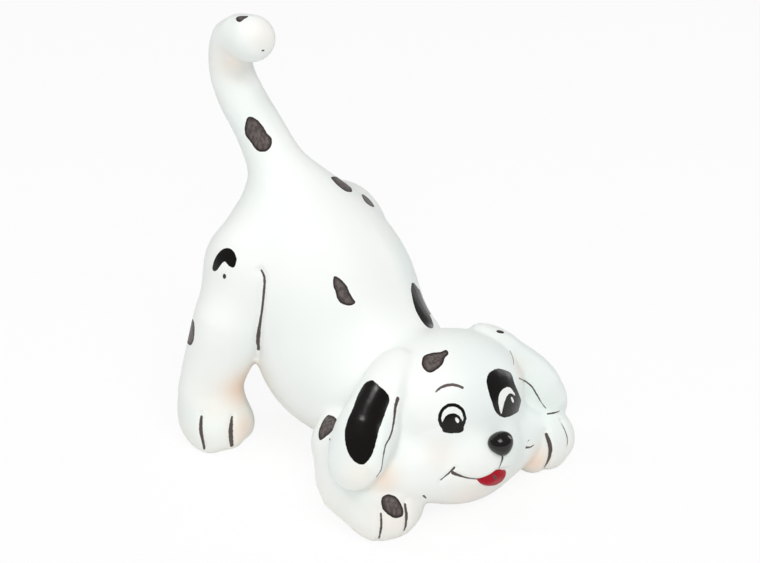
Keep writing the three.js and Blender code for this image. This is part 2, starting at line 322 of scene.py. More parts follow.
def oval(paint, middle, half_width, half_height, lean=0):
    """A painted oval that the photograph doesn't show in full, by a place near the skin, its sizes
    in metres and its lean in degrees"""
    place, normal = skin_surface.find_nearest(Vector(middle))[:2]
    up = (Vector((0, 0, 1)) - normal * normal.z).normalized()
    up = Matrix.Rotation(math.radians(lean), 3, normal) @ up
    side = up.cross(normal)
    corners = []
    for turn in np.linspace(0, 2 * math.pi, OVAL_CORNERS, endpoint=False):
        share = 1 + OVAL_UNEVENNESS * math.sin(OVAL_BULGES * turn + lean)
        corner = side * half_width * math.cos(turn) + up * half_height * math.sin(turn)
        corners.append(place + corner * share)
    outline = np.array([skin_surface.find_nearest(corner)[0] for corner in corners])
    MARKS.append((paint, flat_patch(outline, np.array(normal))))


ELLIPSE_CORNERS = 10


def ellipse(middle, half_width, half_height, lean=0):
    """Pixels round an ellipse, by its middle and sizes in pixels and its lean in degrees"""
    turn = math.radians(lean)
    corners = []
    for step in range(ELLIPSE_CORNERS):
        angle = 2 * math.pi * step / ELLIPSE_CORNERS
        x, y = half_width * math.cos(angle), half_height * math.sin(angle)
        corners.append((
            middle[0] + x * math.cos(turn) - y * math.sin(turn),
            middle[1] + x * math.sin(turn) + y * math.cos(turn),
        ))
    return corners


def stroke(paint, widths, line):
    """A brush stroke through pixels, with its widths in millimetres from start to end"""
    spots = [seen(pixel) for pixel in rounded(line, closed=False)]
    places = np.array([place for place, facing in spots])
    facings = np.array([facing for place, facing in spots])
    facings = facings[:-1] + facings[1:]
    facings /= np.linalg.norm(facings, axis=1)[:, None]
    shares = np.linspace(0, 1, len(places))
    half = np.interp(shares, np.linspace(0, 1, len(widths)), widths) * MM / 2
    low, high = places.min(axis=0) - STROKE_MARGIN, places.max(axis=0) + STROKE_MARGIN

    def edge(points, normals):
        result = np.full(len(points), FAR)
        near = np.all((points > low) & (points < high), axis=1)
        apart, share = to_segments(points[near], places[:-1], places[1:])
        sunk = (apart * facings).sum(2)
        flat = np.sqrt(np.maximum((apart ** 2).sum(2) - sunk ** 2, 0))
        wrong = (np.abs(sunk) > STROKE_DEPTH) | (normals[near] @ facings.T < 0)
        flat[wrong] = FAR
        result[near] = (flat - half[:-1] - (half[1:] - half[:-1]) * share).min(axis=1)
        return result

    MARKS.append((paint, edge))


def crease(width, depth, line):
    """A groove through pixels, with its width and depth in millimetres"""
    places = np.array([seen(pixel)[0] for pixel in rounded(line, closed=False)])
    CREASES.append((width * MM, depth * MM, places))


# Marks on the body: brown-black spots, thin enough for the brush strokes to show, one glossed
# spot that runs on beyond the view, and a line down the fold of the thigh, which is pressed in
# down to the crotch. The spots that the photograph can't see are guessed.
RUMP_SPOT = ((331.1, 177.3), (336.9, 176.9), (344.6, 181.5), (349.9, 186.1), (352.2, 191.4),
             (346.1, 191.4), (338.5, 186.1), (333.9, 181.5))
RIDGE_SPOT = ((361.7, 194.2), (367.5, 197.5), (372.9, 203.7), (374, 207), (369.1, 205.2),
              (364.2, 200.6))
FLANK_SPOT = ((334.2, 276.4), (338.5, 277.6), (344, 282.5), (347.5, 287.5), (349.8, 293),
              (353, 298.5), (355.3, 302), (353.5, 304.5), (348.5, 305.6), (342, 303.8), (337.5, 299),
              (335.6, 292), (333.2, 285.5), (333.2, 280))
THIGH_FOLD = ((260.9, 270.6), (263.8, 280.1), (261.9, 303.1), (259, 326), (257.5, 341.4),
              (257.9, 351.9))
THIGH_FOLD_WIDTHS = (0.7, 1, 0.9, 1.6, 1.1)
CROTCH = (257.5, 359)
THIGH_CREASE = (2.2, 1.1, THIGH_FOLD + (CROTCH,))
BACK_SPOT = ((412.3, 282.6), (416.5, 286), (421.5, 295), (426, 305), (430, 315), (433.5, 325),
             (431.5, 328.4), (426, 326), (420, 318.5), (415.3, 309), (412.3, 298), (411, 289))
BACK_SPOT_MIDDLE = (424, 303)
BACK_SPOT_BEYOND = (5 * MM, 5.7 * MM, 125)
HIDDEN_BODY_SPOTS = (
    ((0.033, 0.012, 0.060), 5 * MM, 7.5 * MM, 30), ((0.030, 0.040, 0.078), 4 * MM, 5.5 * MM, -25),
    ((0.004, 0.062, 0.062), 4.5 * MM, 7 * MM, 15), ((-0.028, 0.058, 0.070), 3 * MM, 4 * MM, 0),
    ((0.030, -0.018, 0.036), 3.5 * MM, 5 * MM, 10),
)
for spot in (RUMP_SPOT, RIDGE_SPOT, FLANK_SPOT):
    patch("spot", spot)
patch("gloss", BACK_SPOT)
oval("gloss", seen(BACK_SPOT_MIDDLE)[0], *BACK_SPOT_BEYOND)
for place, half_width, half_height, lean in HIDDEN_BODY_SPOTS:
    oval("spot", place, half_width, half_height, lean)
stroke("line", THIGH_FOLD_WIDTHS, THIGH_FOLD)
crease(*THIGH_CREASE)

# Marks on the tail: one long spot on its side, one over its tip, a speck under the hook, and a
# guessed spot on the side that the photograph can't see
TAIL_SPOT = ((248.9, 116.7), (255.8, 118.7), (262.6, 125.6), (266.5, 132.5), (271.1, 137.8),
             (271.8, 144), (268, 150.1), (261.9, 151.9), (255.8, 149.3), (250.4, 141.7),
             (245.8, 135.5), (244.7, 128.6), (246.1, 121))
TAIL_TIP_SPOT = ((235.8, 18.7), (237.4, 21.4), (240.4, 21.9), (244.3, 19.1), (248.4, 16.4),
                 (243.5, 15.9), (238.1, 16.5))
TAIL_SPECK = ((263, 50.5), 1.5, 1)
HIDDEN_TAIL_SPOT = ((0.008, 0.078, 0.128), 3.5 * MM, 5 * MM, 15)
patch("spot", TAIL_SPOT)
patch("spot", TAIL_TIP_SPOT)
patch("line", ellipse(*TAIL_SPECK))
oval("spot", *HIDDEN_TAIL_SPOT)

# Marks on the hind legs: a curled glossed spot on the thigh with a speck below it, one down the
# shank, and two toe lines. The toes are parted by grooves, pressed in before the lines are painted.
THIGH_SPOT = ((212.4, 268), (214, 261), (217, 255), (221.5, 250), (227, 248), (232.5, 250),
              (236, 256), (236.3, 262), (233.5, 267.5), (229, 266), (224.5, 261.5), (220.5, 265.5),
              (216.5, 270.5), (213.5, 271))
THIGH_SPECK = ((224.4, 276.3), 1.6, 2.6)
SHANK_SPOT = ((192.5, 319), (194.5, 326), (194, 338), (191.5, 344.5), (188, 344), (185.5, 336),
              (188, 326))
HIND_TOE_LINES = (
    ((1.2, 1.7, 1), ((201, 417), (200.5, 431), (204, 449))),
    ((0.9, 1.9, 1.5), ((232.5, 417), (231, 431), (232, 446))),
)
TOE_GROOVE_WIDTH = 1.8
HIND_TOE_GROOVE_DEPTH = 0.5
HIND_TOE_GROOVES = (
    ((200.5, 414), (200.5, 431), (204, 447)),
    ((233, 414), (231, 431), (232, 445)),
)
HIDDEN_LEG_SPOTS = (
    ((0.044, 0.036, 0.062), 4.5 * MM, 6 * MM, 20), ((0.056, 0.036, 0.030), 3 * MM, 4.5 * MM, 0),
    ((-0.040, 0.056, 0.040), 3.5 * MM, 5 * MM, -15),
)
patch("gloss", THIGH_SPOT)
patch("spot", ellipse(*THIGH_SPECK))
patch("spot", SHANK_SPOT)
for place, half_width, half_height, lean in HIDDEN_LEG_SPOTS:
    oval("spot", place, half_width, half_height, lean)
for widths, line in HIND_TOE_LINES:
    stroke("line", widths, line)
for line in HIND_TOE_GROOVES:
    crease(TOE_GROOVE_WIDTH, HIND_TOE_GROOVE_DEPTH, line)

# Marks on the head: the features are painted black and the tongue red, and the eye whites and the
# glints are put on last. The lips, the corner of the mouth and the fold of the cheek are pressed
# into the clay.
BROW_SPOT = ((422, 360), (424, 356), (431, 353), (440, 352), (446, 350), (448.5, 353.6), (445, 358),
             (442.5, 364), (437, 369.5), (430, 372.7), (424.6, 370), (422, 365))
BROW_LINE = ((435.7, 391.9), (441.2, 387.4), (447.6, 385.1), (453.3, 384.8), (459.1, 386.1),
             (462.7, 387.8))
RIGHT_EYE_RIM = ((452.4, 418.4), 12.7, 13.6)
RIGHT_EYE_RIM_WIDTH = 1.2
RIGHT_PUPIL = ((442.3, 430), (442.7, 422), (446, 416), (450.5, 413.6), (455.5, 413.6), (460, 416.8),
               (463, 423), (464, 430), (460, 433.2), (447, 433.2))
RIGHT_GLINT = ((457.2, 420.3), 1.7, 3, -28)
LEFT_EYE_PATCH = ((498.6, 368.6), (505.6, 370.2), (511.4, 374), (514.6, 383.6), (518.4, 392.5),
                  (521.6, 401.4), (522, 407.8), (516.5, 412.9), (507.6, 417.1), (501.2, 416.7),
                  (495.4, 411.6), (492.2, 402.7), (488.4, 391.2), (486.6, 381), (488.4, 374),
                  (493.5, 369.9))
LEFT_EYE_WHITE = ((500.5, 412.6), (498.6, 404), (498.6, 397.6), (500.5, 391.9), (505.6, 387.6),
                  (510.1, 387.7), (513.3, 391.2), (515.2, 395.6), (511.4, 393.4), (508.2, 394.4),
                  (505.6, 398.9), (503.7, 404.6), (501.8, 413))
LEFT_GLINT = ((512.4, 399.8), 1, 3, -20)
TONGUE = ((477.6, 480.9), (482, 479.2), (489.7, 476.7), (495.4, 472.6), (499.3, 471.3),
          (505.6, 471.2), (505.3, 474.1), (501.2, 479.2), (494.8, 483.7), (489.7, 485.4),
          (483.3, 485))
TONGUE_MARK = ((494, 475.9), 1.7, 0.8, -40)
FACE_LINES = (
    ((0.5, 1.05, 1.15, 1.05, 0.9), BROW_LINE),
    ((0.9, 0.7), ((503.1, 454.4), (503.1, 460.1), (499.9, 469))),
    ((0.8, 0.4), ((454.6, 468.1), (448.5, 474.5), (441.2, 480.9))),
    ((1.3, 0.9, 0.7, 0.7), ((453.3, 473.5), (461.6, 477.3), (469.3, 479.5), (477.6, 480.5))),
    ((0.3, 0.9), ((533.7, 445.1), (530.5, 447), (526, 447.4))),
    ((0.3, 0.3), ((529.2, 440), (527, 442))),
)
FACE_CREASES = (
    (1.6, 0.8, ((452, 472.5), (461.6, 477.6), (469.3, 479.8), (480, 480.4), (491, 476), (499, 470.6),
                (507, 469.5))),
    (1.3, 0.6, ((503.1, 452), (503.1, 460.1), (500.5, 469))),
    (1.5, 0.7, ((455, 467.6), (448.5, 474.5), (441.5, 480.7))),
    (1.8, 0.25, ((438, 427.6), (424.6, 432), (417, 435.9))),
    (5, 0.45, ((458.7, 432.4), (452.5, 447), (451, 460))),
)
rim = ellipse(*RIGHT_EYE_RIM)
patch("spot", BROW_SPOT)
stroke("gloss", (RIGHT_EYE_RIM_WIDTH,), rim + rim[:1])
patch("gloss", RIGHT_PUPIL)
patch("white", ellipse(*RIGHT_GLINT))
patch("gloss", LEFT_EYE_PATCH)
patch("white", LEFT_EYE_WHITE)
patch("white", ellipse(*LEFT_GLINT))
patch("tongue", TONGUE)
patch("line", ellipse(*TONGUE_MARK))
for widths, line in FACE_LINES:
    stroke("line", widths, line)
for width, depth, line in FACE_CREASES:
    crease(width, depth, line)

# Marks on the ears: a big glossed patch on the right one, a small spot on the left one, and
# thin lines where each flap lies against the cheek
RIGHT_EAR_PATCH = ((373, 380.4), (379.6, 386.2), (386.2, 392), (389.6, 399.5), (387.1, 407.8),
                   (382.9, 419.4), (378.8, 431), (375.5, 444.3), (372.1, 454.2), (367.2, 461.7),
                   (361.4, 464.7), (354.7, 461.7), (348.9, 454.2), (345.6, 444.3), (344.8, 432.7),
                   (347.3, 421), (353.1, 407.8), (358, 394.5), (363.8, 384.6), (368, 381.3))
LEFT_EAR_SPOT = ((500.2, 331.8), 4, 1.5, 12)
EAR_LINES = (
    ((1.5, 1, 0.7, 0.6, 0.4), ((397.8, 398.7), (395.4, 407.8), (393.7, 422.7), (390.4, 436),
                               (385.4, 445.9), (382.9, 459.2), (381.3, 469.2), (376.3, 477.4))),
    ((0.4, 0.6, 0.3), ((510.1, 351), (512.7, 357.4), (513.7, 364.4))),
    ((0.5, 0.6, 0.6, 0.3), ((519, 378.2), (526.7, 382.3), (532.4, 387.4), (536.3, 393.8),
                            (540.7, 401.4), (545.8, 408.4))),
    ((0.7, 0.4), ((547.7, 413.9), (554.1, 412.9), (559.8, 411))),
)
patch("gloss", RIGHT_EAR_PATCH)
patch("spot", ellipse(*LEFT_EAR_SPOT))
for widths, line in EAR_LINES:
    stroke("line", widths, line)

# Marks on the forelegs: spots on the right elbow and paw, toe lines over pressed grooves, and a
# guessed spot on the left elbow, which the photograph can't see
ELBOW_SPOT = ((319.9, 440.1), (318.6, 432.7), (321.6, 423.5), (326.5, 416.1), (330.7, 415.3),
              (336.5, 419.1), (334, 426.9), (331.5, 431.8), (325.7, 436.8))
ELBOW_SPECK = ((329.9, 439.3), 0.8, 1)
PAW_SPOT = ((387.9, 494.4), (395.4, 496.5), (399.5, 501.5), (403.2, 509), (402.8, 515.6),
            (396.2, 518.1), (389.6, 515.6), (383.7, 509.8), (381.3, 503.2), (382.1, 497.3))
FORELEG_LINES = (
    ((0.7, 0.9, 0.6), ((380.9, 513.9), (381.3, 525.5), (380.4, 533.8), (378.8, 540.5))),
    ((1.1, 1.3, 0.8), ((406.1, 504.8), (407.5, 515.6), (407, 525.5), (405.3, 532.2))),
    ((0.9, 0.5), ((423.5, 495.7), (426, 498.2))),
    ((1.4, 1.7, 1.6, 1.2, 0.6), ((547.1, 434.6), (550.3, 444.8), (550.9, 452.4), (549, 461.4),
                                 (545.2, 469))),
    ((0.4, 0.7, 0.5), ((563, 422.5), (567.5, 432), (569.4, 441), (568.5, 447.3))),
)
FORE_TOE_GROOVE_DEPTH = 0.85
FORE_TOE_GROOVES = (
    ((380.9, 510), (381.3, 525.5), (380.4, 533.8), (378.5, 541)),
    ((406.1, 501), (407.5, 515.6), (407, 525.5), (404.8, 534)),
    ((546.5, 431), (550.3, 444.8), (550.9, 452.4), (549, 461.4), (544.5, 471)),
    ((562, 420), (567.5, 432), (569.4, 441), (568.2, 450)),
)
HIDDEN_ELBOW_SPOT = ((0.044, -0.026, 0.022), 4 * MM, 5 * MM, 20)
patch("spot", ELBOW_SPOT)
patch("spot", ellipse(*ELBOW_SPECK))
patch("spot", PAW_SPOT)
oval("spot", *HIDDEN_ELBOW_SPOT)
for widths, line in FORELEG_LINES:
    stroke("line", widths, line)
for line in FORE_TOE_GROOVES:
    crease(TOE_GROOVE_WIDTH, FORE_TOE_GROOVE_DEPTH, line)

# Fettling: the clay is worked finer along its creases and marks, then the creases are pressed in
# and the tongue is built up. The soles are rubbed flat on a wet board.
FINE_CUTS = 3
FINE_BAND = 1.3 * MM
FINE_ROUNDS = 6
CREASE_REACH = 3
CREASE_FALL = 2
TONGUE_RISE = 1.3 * MM
TONGUE_EASE = 2.4 * MM


def edges_of_marks(points, normals, paint=None):
    """The least distance from any mark's edge, of one paint or of all"""
    result = np.full(len(points), FAR)
    for kind, edge in MARKS:
        if paint is None:
            result = np.minimum(result, np.abs(edge(points, normals)))
        elif kind == paint:
            result = np.minimum(result, edge(points, normals))
    return result


def crease_distance(points, width, line):
    """The distance of each point from the middle line of a crease, or far where it has run out"""
    result = np.full(len(points), FAR)
    reach = CREASE_REACH * width + FINE_BAND
    near = np.all((points > line.min(axis=0) - reach) & (points < line.max(axis=0) + reach), axis=1)
    apart = to_segments(points[near], line[:-1], line[1:])[0]
    result[near] = np.linalg.norm(apart, axis=2).min(axis=1)
    return result


middles = vectors_of(skin.data.polygons, "center")
fine = edges_of_marks(middles, vectors_of(skin.data.polygons, "normal")) < FINE_BAND
for width, depth, line in CREASES:
    fine |= crease_distance(middles, width, line) < width + FINE_BAND
take(skin)
bpy.ops.object.mode_set(mode="EDIT")
bpy.ops.mesh.select_mode(type="FACE")
bpy.ops.mesh.select_all(action="DESELECT")
bpy.ops.object.mode_set(mode="OBJECT")
skin.data.polygons.foreach_set("select", fine)
bpy.ops.object.mode_set(mode="EDIT")
bpy.ops.mesh.subdivide(number_cuts=FINE_CUTS)
bpy.ops.object.mode_set(mode="OBJECT")
fine_group = skin.vertex_groups.new(name="fine")
selected = np.empty(len(skin.data.vertices), bool)
skin.data.vertices.foreach_get("select", selected)
fine_group.add(np.flatnonzero(selected).tolist(), 1, "REPLACE")
work(skin, "SMOOTH", factor=EASE, iterations=FINE_ROUNDS, vertex_group="fine")

points = vectors_of(skin.data.vertices, "co")
normals = vectors_of(skin.data.vertices, "normal")
sunk = np.zeros(len(points))
for width, depth, line in CREASES:
    apart = crease_distance(points, width, line) / width
    sunk = np.maximum(sunk, depth * np.exp(-CREASE_FALL * apart ** 2))
raised = np.clip(-edges_of_marks(points, normals, "tongue") / TONGUE_EASE, 0, 1)
raised = TONGUE_RISE * raised * (2 - raised)
points += normals * (raised - sunk)[:, None]
points[:, 2] = np.maximum(points[:, 2], 0)
set_places(skin, points)
skin.data.shade_smooth()

# Paint: satin white acrylic over the bisque, then the marks in acrylic by brush. The white has
# warm painted shade in the hollows, the black is glossed, the soles and the inside stay bare bisque.
WHITE = "#f5f8f5"
COOL_WHITE = "#eff6f3"
# Warm white for the painted shade in the hollows and low down
WARM_PAINTED_SHADE = "#f7e0cd"
BARE_BISQUE = "#e9e0d2"
SPOT_BROWN = "#2c2122"
SPOT_GREY = "#68605d"
LINE_BROWN = "#564b48"
GLOSS_BLACK = "#0d0a09"
TONGUE_RED = "#a80c24"
ACRYLIC_IOR = 1.48
ACRYLIC_SHINE = 0.3
PAINT_RELIEF = 0.04 * MM
CLAY_RELIEF = 0.006 * MM

# Each paint lies over those named before it. Its edges are measured in millimetres, and the
# changes of a pattern are counted by the metre.
PAINTS = ("spot", "tongue", "line", "gloss", "white")
EDGE_SOFTNESS = 0.07
EDGE_WANDER = 0.35
WANDERS_PER_METRE = 900
DRIFTS_PER_METRE = 18
DRIFT_BAND = (0.4, 0.6)
STROKES_PER_METRE = (950, 950, 200)
STROKE_TURN = (0.5, 0.2, 0.3)
STROKE_BAND = (0.35, 0.65)
LEAST_STREAK = 0.45
THIN_FROM = 0.2
THIN_FULLY = 1.5
SATINS_PER_METRE = 60
SATIN_DULLNESS = (0.32, 0.5)
DULLNESS = {"gloss": 0.22, "tongue": 0.5, "bare": 0.85}
GRAINS_PER_METRE = 3200
CLAY_STRENGTH = 0.6
PAINT_STRENGTH = 0.8


def linear(code):
    """An sRGB hex colour as linear light"""
    values = [int(code[index:index + 2], 16) / 255 for index in (1, 3, 5)]
    return [v / 12.92 if v <= 0.04045 else ((v + 0.055) / 1.055) ** 2.4 for v in values] + [1]


def add_node(tree, kind, inputs=None, output=0, **settings):
    """Adds a node with its settings, fills or links its inputs, and returns one of its outputs"""
    node = tree.nodes.new(kind)
    for name, value in settings.items():
        setattr(node, name, value)
    for name, value in (inputs or {}).items():
        if isinstance(value, bpy.types.NodeSocket):
            tree.links.new(value, node.inputs[name])
        else:
            node.inputs[name].default_value = value
    return node.outputs[output]


painted_bisque = bpy.data.materials.new("painted_bisque")
painted_bisque.use_nodes = True
tree = painted_bisque.node_tree
shader = tree.nodes["Principled BSDF"]
place = add_node(tree, "ShaderNodeTexCoord", output="Object")

# Each paint covers the skin inside its edge, which wanders by about a tenth of a millimetre
wander = add_node(tree, "ShaderNodeTexNoise", {
    "Vector": place, "Scale": WANDERS_PER_METRE, "Detail": 1,
})
wander = add_node(tree, "ShaderNodeMapRange", {
    "Value": wander, "To Min": -EDGE_WANDER / 2, "To Max": EDGE_WANDER / 2,
})
covers = {}
for paint in PAINTS + ("bare",):
    edge = add_node(tree, "ShaderNodeAttribute", output="Fac", attribute_name=paint + "_edge")
    edge = add_node(tree, "ShaderNodeMath", {0: edge, 1: wander}, operation="ADD")
    covers[paint] = add_node(tree, "ShaderNodeMapRange", {
        "Value": edge, "From Min": EDGE_SOFTNESS, "From Max": -EDGE_SOFTNESS,
    }, interpolation_type="SMOOTHSTEP")

# The white changes slowly from neutral to cool over about 50 mm. A colour mix takes its share at
# input 0 and its two colours at inputs 6 and 7.
drift = add_node(tree, "ShaderNodeTexNoise", {
    "Vector": place, "Scale": DRIFTS_PER_METRE, "Detail": 1,
})
drift = add_node(tree, "ShaderNodeMapRange", {
    "Value": drift, "From Min": DRIFT_BAND[0], "From Max": DRIFT_BAND[1],
}, interpolation_type="SMOOTHSTEP")
white = add_node(tree, "ShaderNodeMix", {
    0: drift, 6: linear(WHITE), 7: linear(COOL_WHITE),
}, 2, data_type="RGBA")
# The white turns warm where shade is painted: in the hollows, between parts and low down
painted_warm_shade = add_node(tree, "ShaderNodeAttribute", output="Fac", attribute_name="painted_warm_shade")
colour = add_node(tree, "ShaderNodeMix", {
    0: painted_warm_shade, 6: white, 7: linear(WARM_PAINTED_SHADE),
}, 2, data_type="RGBA")

# Brush strokes in the spots are about 1 mm wide and 5 mm long, and show where the paint is thin
brushed = add_node(tree, "ShaderNodeMapping", {
    "Vector": place, "Scale": STROKES_PER_METRE, "Rotation": STROKE_TURN,
})
strokes = add_node(tree, "ShaderNodeTexNoise", {"Vector": brushed, "Scale": 1, "Detail": 2})
streaks = add_node(tree, "ShaderNodeMapRange", {
    "Value": strokes, "From Min": STROKE_BAND[0], "From Max": STROKE_BAND[1],
    "To Min": LEAST_STREAK, "To Max": 1,
}, interpolation_type="SMOOTHSTEP")
spot_edge = add_node(tree, "ShaderNodeAttribute", output="Fac", attribute_name="spot_edge")
inner = add_node(tree, "ShaderNodeMapRange", {
    "Value": spot_edge, "From Min": -THIN_FROM, "From Max": -THIN_FULLY,
}, interpolation_type="SMOOTHSTEP")
thin_paint = add_node(tree, "ShaderNodeMath", {0: streaks, 1: inner}, operation="MULTIPLY")
spot = add_node(tree, "ShaderNodeMix", {
    0: thin_paint, 6: linear(SPOT_BROWN), 7: linear(SPOT_GREY),
}, 2, data_type="RGBA")
coats = {
    "spot": spot, "tongue": linear(TONGUE_RED), "line": linear(LINE_BROWN),
    "gloss": linear(GLOSS_BLACK), "white": linear(WHITE), "bare": linear(BARE_BISQUE),
}
for paint, coat in coats.items():
    colour = add_node(tree, "ShaderNodeMix", {
        0: covers[paint], 6: colour, 7: coat,
    }, 2, data_type="RGBA")
tree.links.new(colour, shader.inputs["Base Color"])

# The white is satin and varies a little, the gloss is brighter, and bare bisque is dull
satin = add_node(tree, "ShaderNodeTexNoise", {"Vector": place, "Scale": SATINS_PER_METRE})
satin = add_node(tree, "ShaderNodeMapRange", {
    "Value": satin, "To Min": SATIN_DULLNESS[0], "To Max": SATIN_DULLNESS[1],
})
for paint, dullness in DULLNESS.items():
    satin = add_node(tree, "ShaderNodeMix", {0: covers[paint], 2: satin, 3: dullness})
tree.links.new(satin, shader.inputs["Roughness"])

# Spots and gloss stand a little proud, ridged by the brush, over a clay grain of about 0.3 mm
grain = add_node(tree, "ShaderNodeTexNoise", {"Vector": place, "Scale": GRAINS_PER_METRE})
grain = add_node(tree, "ShaderNodeBump", {
    "Height": grain, "Distance": CLAY_RELIEF, "Strength": CLAY_STRENGTH,
})
marks = add_node(tree, "ShaderNodeMath", {0: covers["spot"], 1: covers["gloss"]}, operation="MAXIMUM")
relief = add_node(tree, "ShaderNodeMath", {0: strokes, 1: marks, 2: marks}, operation="MULTIPLY_ADD")
relief = add_node(tree, "ShaderNodeBump", {
    "Height": relief, "Distance": PAINT_RELIEF, "Strength": PAINT_STRENGTH, "Normal": grain,
})
tree.links.new(relief, shader.inputs["Normal"])
shader.inputs["IOR"].default_value = ACRYLIC_IOR
shader.inputs["Specular IOR Level"].default_value = ACRYLIC_SHINE

# Painted shade: a warm peach where shade falls, in the hollows, between parts and low down, by a
# pixel, a radius and a strength
PAINTED_SHADE_POOLS = (
    ((265, 35), 7 * MM, 0.2), ((231, 62), 7 * MM, 0.35), ((520, 371), 5 * MM, 0.5),
    ((533, 462), 7 * MM, 0.9), ((383, 479), 6 * MM, 0.7), ((240, 386), 9 * MM, 1),
    ((251, 368), 6 * MM, 0.7), ((244, 430), 8 * MM, 0.7), ((395, 522), 12 * MM, 0.3),
    ((470, 497), 12 * MM, 0.3), ((360, 478), 8 * MM, 0.3), ((440, 455), 5 * MM, 0.25),
    ((220, 405), 10 * MM, 0.25),
)
LOW_PAINTED_SHADE = 0.25
LOW_PAINTED_SHADE_TOP = 21 * MM
SOLE_HEIGHT = 0.4 * MM
PAINT_DEPTH = 2 * MM
EDGE_LIMIT = 3
painted_shade_pools = [(np.array(seen(pixel)[0]), radius, strength) for pixel, radius, strength in PAINTED_SHADE_POOLS]


def lay_layer(piece, name, values):
    """Keeps one number for each point of a piece, for the material to read"""
    layer = piece.data.attributes.new(name, "FLOAT", "POINT")
    layer.data.foreach_set("value", values.astype(np.float32))


def paint_casting(piece):
    """Lays the marks, the bare soles and inside, and the painted warm shade on a piece, point by
    point
    """
    points = vectors_of(piece.data.vertices, "co")
    normals = vectors_of(piece.data.vertices, "normal")
    for paint in PAINTS:
        edge = np.clip(edges_of_marks(points, normals, paint) / MM, -EDGE_LIMIT, EDGE_LIMIT)
        lay_layer(piece, paint + "_edge", edge)
    inside = np.array([skin_surface.find_nearest(point)[3] > PAINT_DEPTH for point in points])
    bare = np.where(inside | (points[:, 2] < SOLE_HEIGHT), -1, 1)
    lay_layer(piece, "bare_edge", bare)
    # Painted shade: warmer towards the bottom, and in pools at the hollows and between parts
    painted_shade = np.clip((1 - points[:, 2] / LOW_PAINTED_SHADE_TOP) * LOW_PAINTED_SHADE, 0, LOW_PAINTED_SHADE)
    for middle, radius, strength in painted_shade_pools:
        apart = np.linalg.norm(points - middle, axis=1)
        painted_shade = np.maximum(painted_shade, strength * np.exp(-(apart / radius) ** 2))
    lay_layer(piece, "painted_warm_shade", painted_shade)
    piece.data.materials.clear()
    piece.data.materials.append(painted_bisque)


# Castings: the skin is cut back into them a little outside each piece's own shape, and each
# keeps the shading of the whole skin, so that no seam shows where the slip was sponged
CUT_ALLOWANCE = 2.5 * MM
CUTTER_GRAIN = 1.5 * MM
SMOOTH_ANGLE = math.radians(50)
SAME_PLACE = 0.05 * MM
SEAT_BLOCK = 0.4


def copy_piece(piece, name):
    copy = piece.copy()
    copy.data = piece.data.copy()
    copy.name = copy.data.name = name
    bpy.context.scene.collection.objects.link(copy)
    return copy


def cut(piece, cutter, kind):
    work(piece, "BOOLEAN", operation=kind, solver="MANIFOLD", object=cutter)


def cut_from_skin(node, cutter):
    """Parts a casting from what is left of the skin"""
    piece = copy_piece(rest_of_skin, "puppy_" + node)
    cut(piece, cutter, "INTERSECT")
    cut(rest_of_skin, cutter, "DIFFERENCE")
    bpy.data.objects.remove(cutter)
    return piece


def limb_cutter(node):
    """A limb's own shape with the allowance all over"""
    cutter = fattened(node, node + "_cutter", CUT_ALLOWANCE)
    work(cutter, "REMESH", mode="VOXEL", voxel_size=CUTTER_GRAIN)
    return cutter


def seat_cutter(place, outward):
    """A block that holds everything beyond a flat seat"""
    bpy.ops.object.select_all(action="DESELECT")
    bpy.ops.mesh.primitive_cube_add(size=SEAT_BLOCK)
    block = bpy.context.object
    outward = Vector(outward).normalized()
    turned = outward.to_track_quat("Z", "Y").to_matrix().to_4x4()
    block.data.transform(Matrix.Translation(Vector(place) + outward * SEAT_BLOCK / 2) @ turned)
    return block


def finish_casting(piece, node):
    """Shades and paints a casting, and puts it in the place of its CAD node"""
    take(piece)
    bpy.ops.object.shade_smooth_by_angle(angle=SMOOTH_ANGLE)
    work(piece, "DATA_TRANSFER", object=skin, use_loop_data=True, data_types_loops={"CUSTOM_NORMAL"},
         loop_mapping="POLYINTERP_NEAREST", use_max_distance=True, max_distance=SAME_PLACE)
    paint_casting(piece)
    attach(piece, "root")
    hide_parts(node)


rest_of_skin = copy_piece(skin, "rest_of_skin")
rest_of_skin.vertex_groups.clear()

# Ears: thick flaps of bisque, each cast solid in a mould of its own and luted to the crown.
# They hang beside the cheeks and flare out over the forelegs.
for node in ("right_ear", "left_ear"):
    finish_casting(cut_from_skin(node, limb_cutter(node)), node)

# Hind legs: cast solid in bisque, each with a full thigh and a big round paw. They are luted to
# the sides of the rump and stand on flat soles.
for node in ("right_hind_leg", "left_hind_leg"):
    finish_casting(cut_from_skin(node, limb_cutter(node)), node)

# Forelegs: cast solid in bisque and luted to the chest. They are folded flat on the table, with
# their paws by the chin.
for node in ("right_front_leg", "left_front_leg"):
    finish_casting(cut_from_skin(node, limb_cutter(node)), node)

# Head: a drain-cast shell of bisque, luted to the body on a flat seat. The skin has its hollow,
# which the slip left when it was poured out. It is scraped a little wider here, and the passage
# through the neck is reamed round.
NECK_SEAT = ((0, -0.0240, 0.058), (0, -0.97, 0.25))
NECK_PASSAGE = ((0.0017, -0.0290, 0.034), 11 * MM, 24 * MM)
SCRAPED_HOLLOW = (
    ((0.0017, -0.050, 0.032), (0.022, 0.013, 0.015)),
    ((0.0017, -0.050, 0.024), (0.028, 0.011, 0.012)),
)
HOLLOW_GRAIN = 1.5 * MM
ROD_SIDES = 48


def hollow_cutter(balls):
    """A few flattened balls run together, to scrape a hollow wider"""
    bpy.ops.object.select_all(action="DESELECT")
    for middle, radii in balls:
        bpy.ops.mesh.primitive_uv_sphere_add(radius=1, location=middle, scale=radii)
        bpy.ops.object.transform_apply(location=True, rotation=True, scale=True)
        bpy.context.object.name = "hollow"
    for room in bpy.data.objects:
        if room.name.startswith("hollow"):
            room.select_set(True)
    bpy.ops.object.join()
    room = bpy.context.object
    work(room, "REMESH", mode="VOXEL", voxel_size=HOLLOW_GRAIN)
    return room


